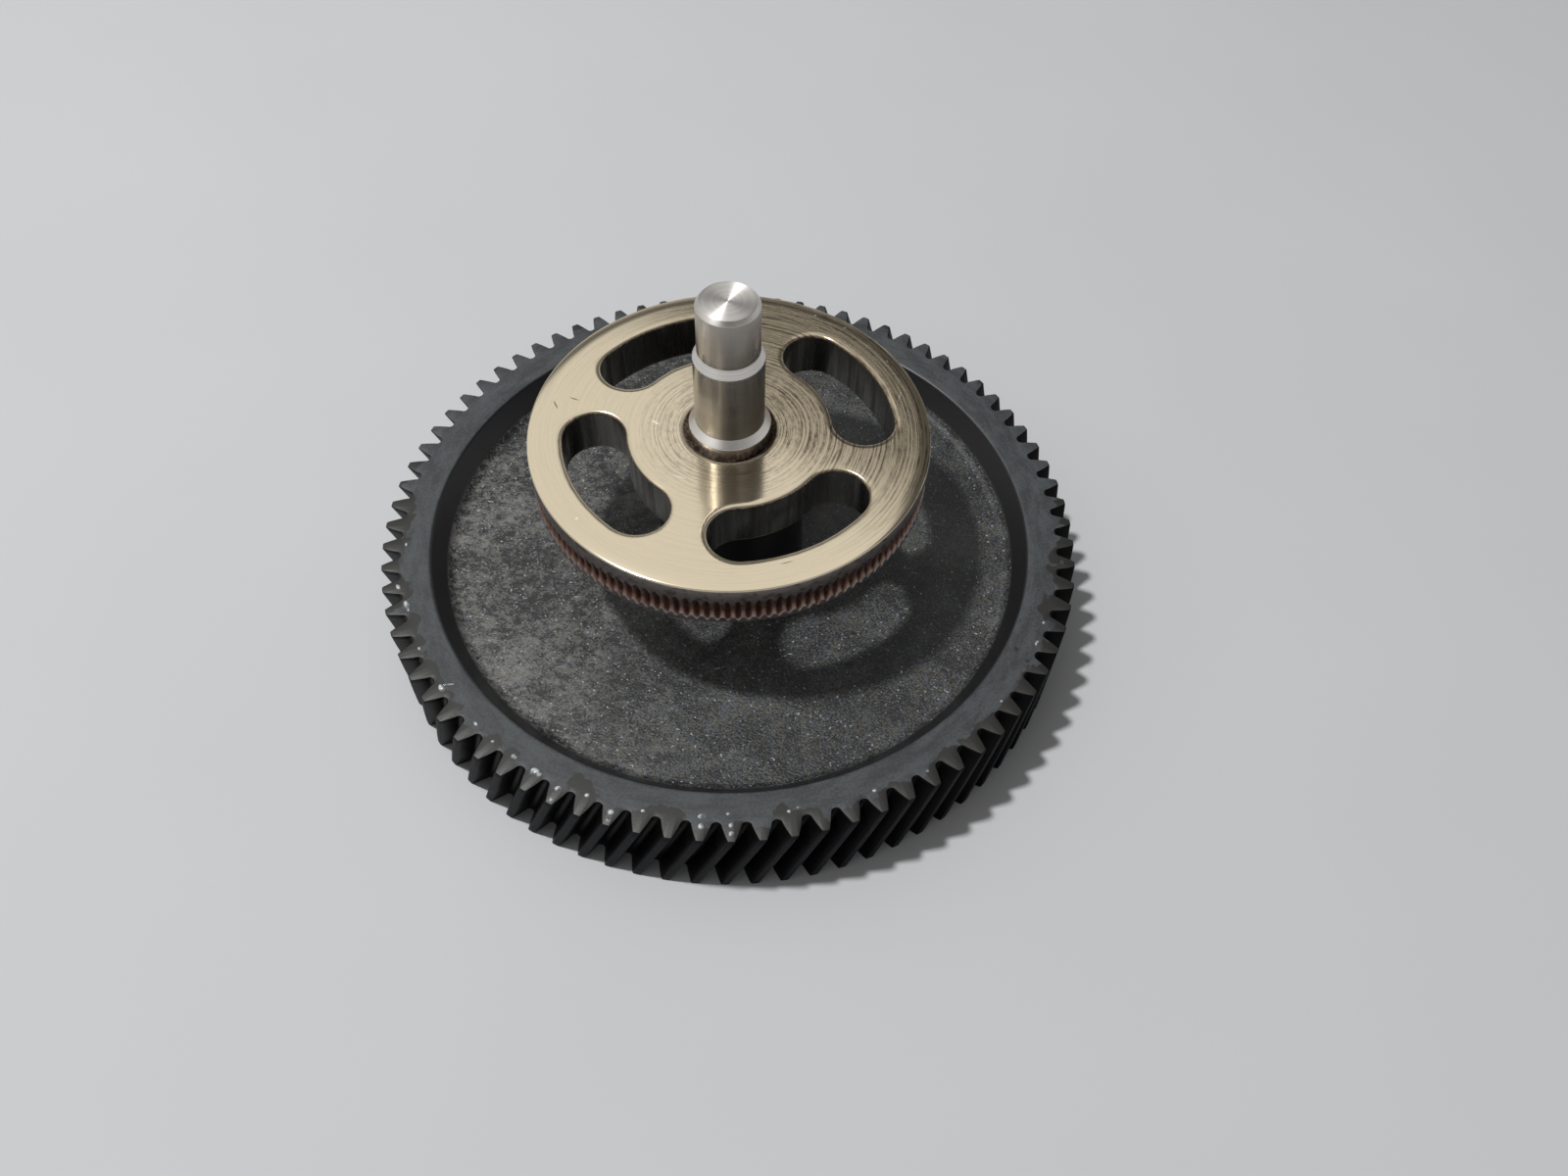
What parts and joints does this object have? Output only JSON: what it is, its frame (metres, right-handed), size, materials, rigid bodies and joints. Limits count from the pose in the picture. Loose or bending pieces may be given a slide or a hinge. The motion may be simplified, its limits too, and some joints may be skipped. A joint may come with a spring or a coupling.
{
  "type": "extruder gear",
  "caption": "Black moulded helical gear with a long hub, a slotted metal drive wheel with a finely toothed edge above it, and a stepped steel shaft through both.",
  "frame": {"origin": "centre of the gear's lower face, on the shaft's axis", "axes": "+Z along the shaft, from the gear towards the shaft's free end; -Y is the side the picture was taken from"},
  "size_m": [0.0436, 0.0436, 0.0239],
  "materials": {
    "gear_plastic": "moulded, smooth rim and spark-textured web, with traces of grease",
    "wheel_steel": "turned and plated, warm nickel tint",
    "shaft_steel": "turned stainless, satin"
  },
  "bodies": {
    "root": {"helical_gear": "gear_plastic", "drive_wheel": "wheel_steel", "shaft": "shaft_steel"}
  },
  "joints": []
}
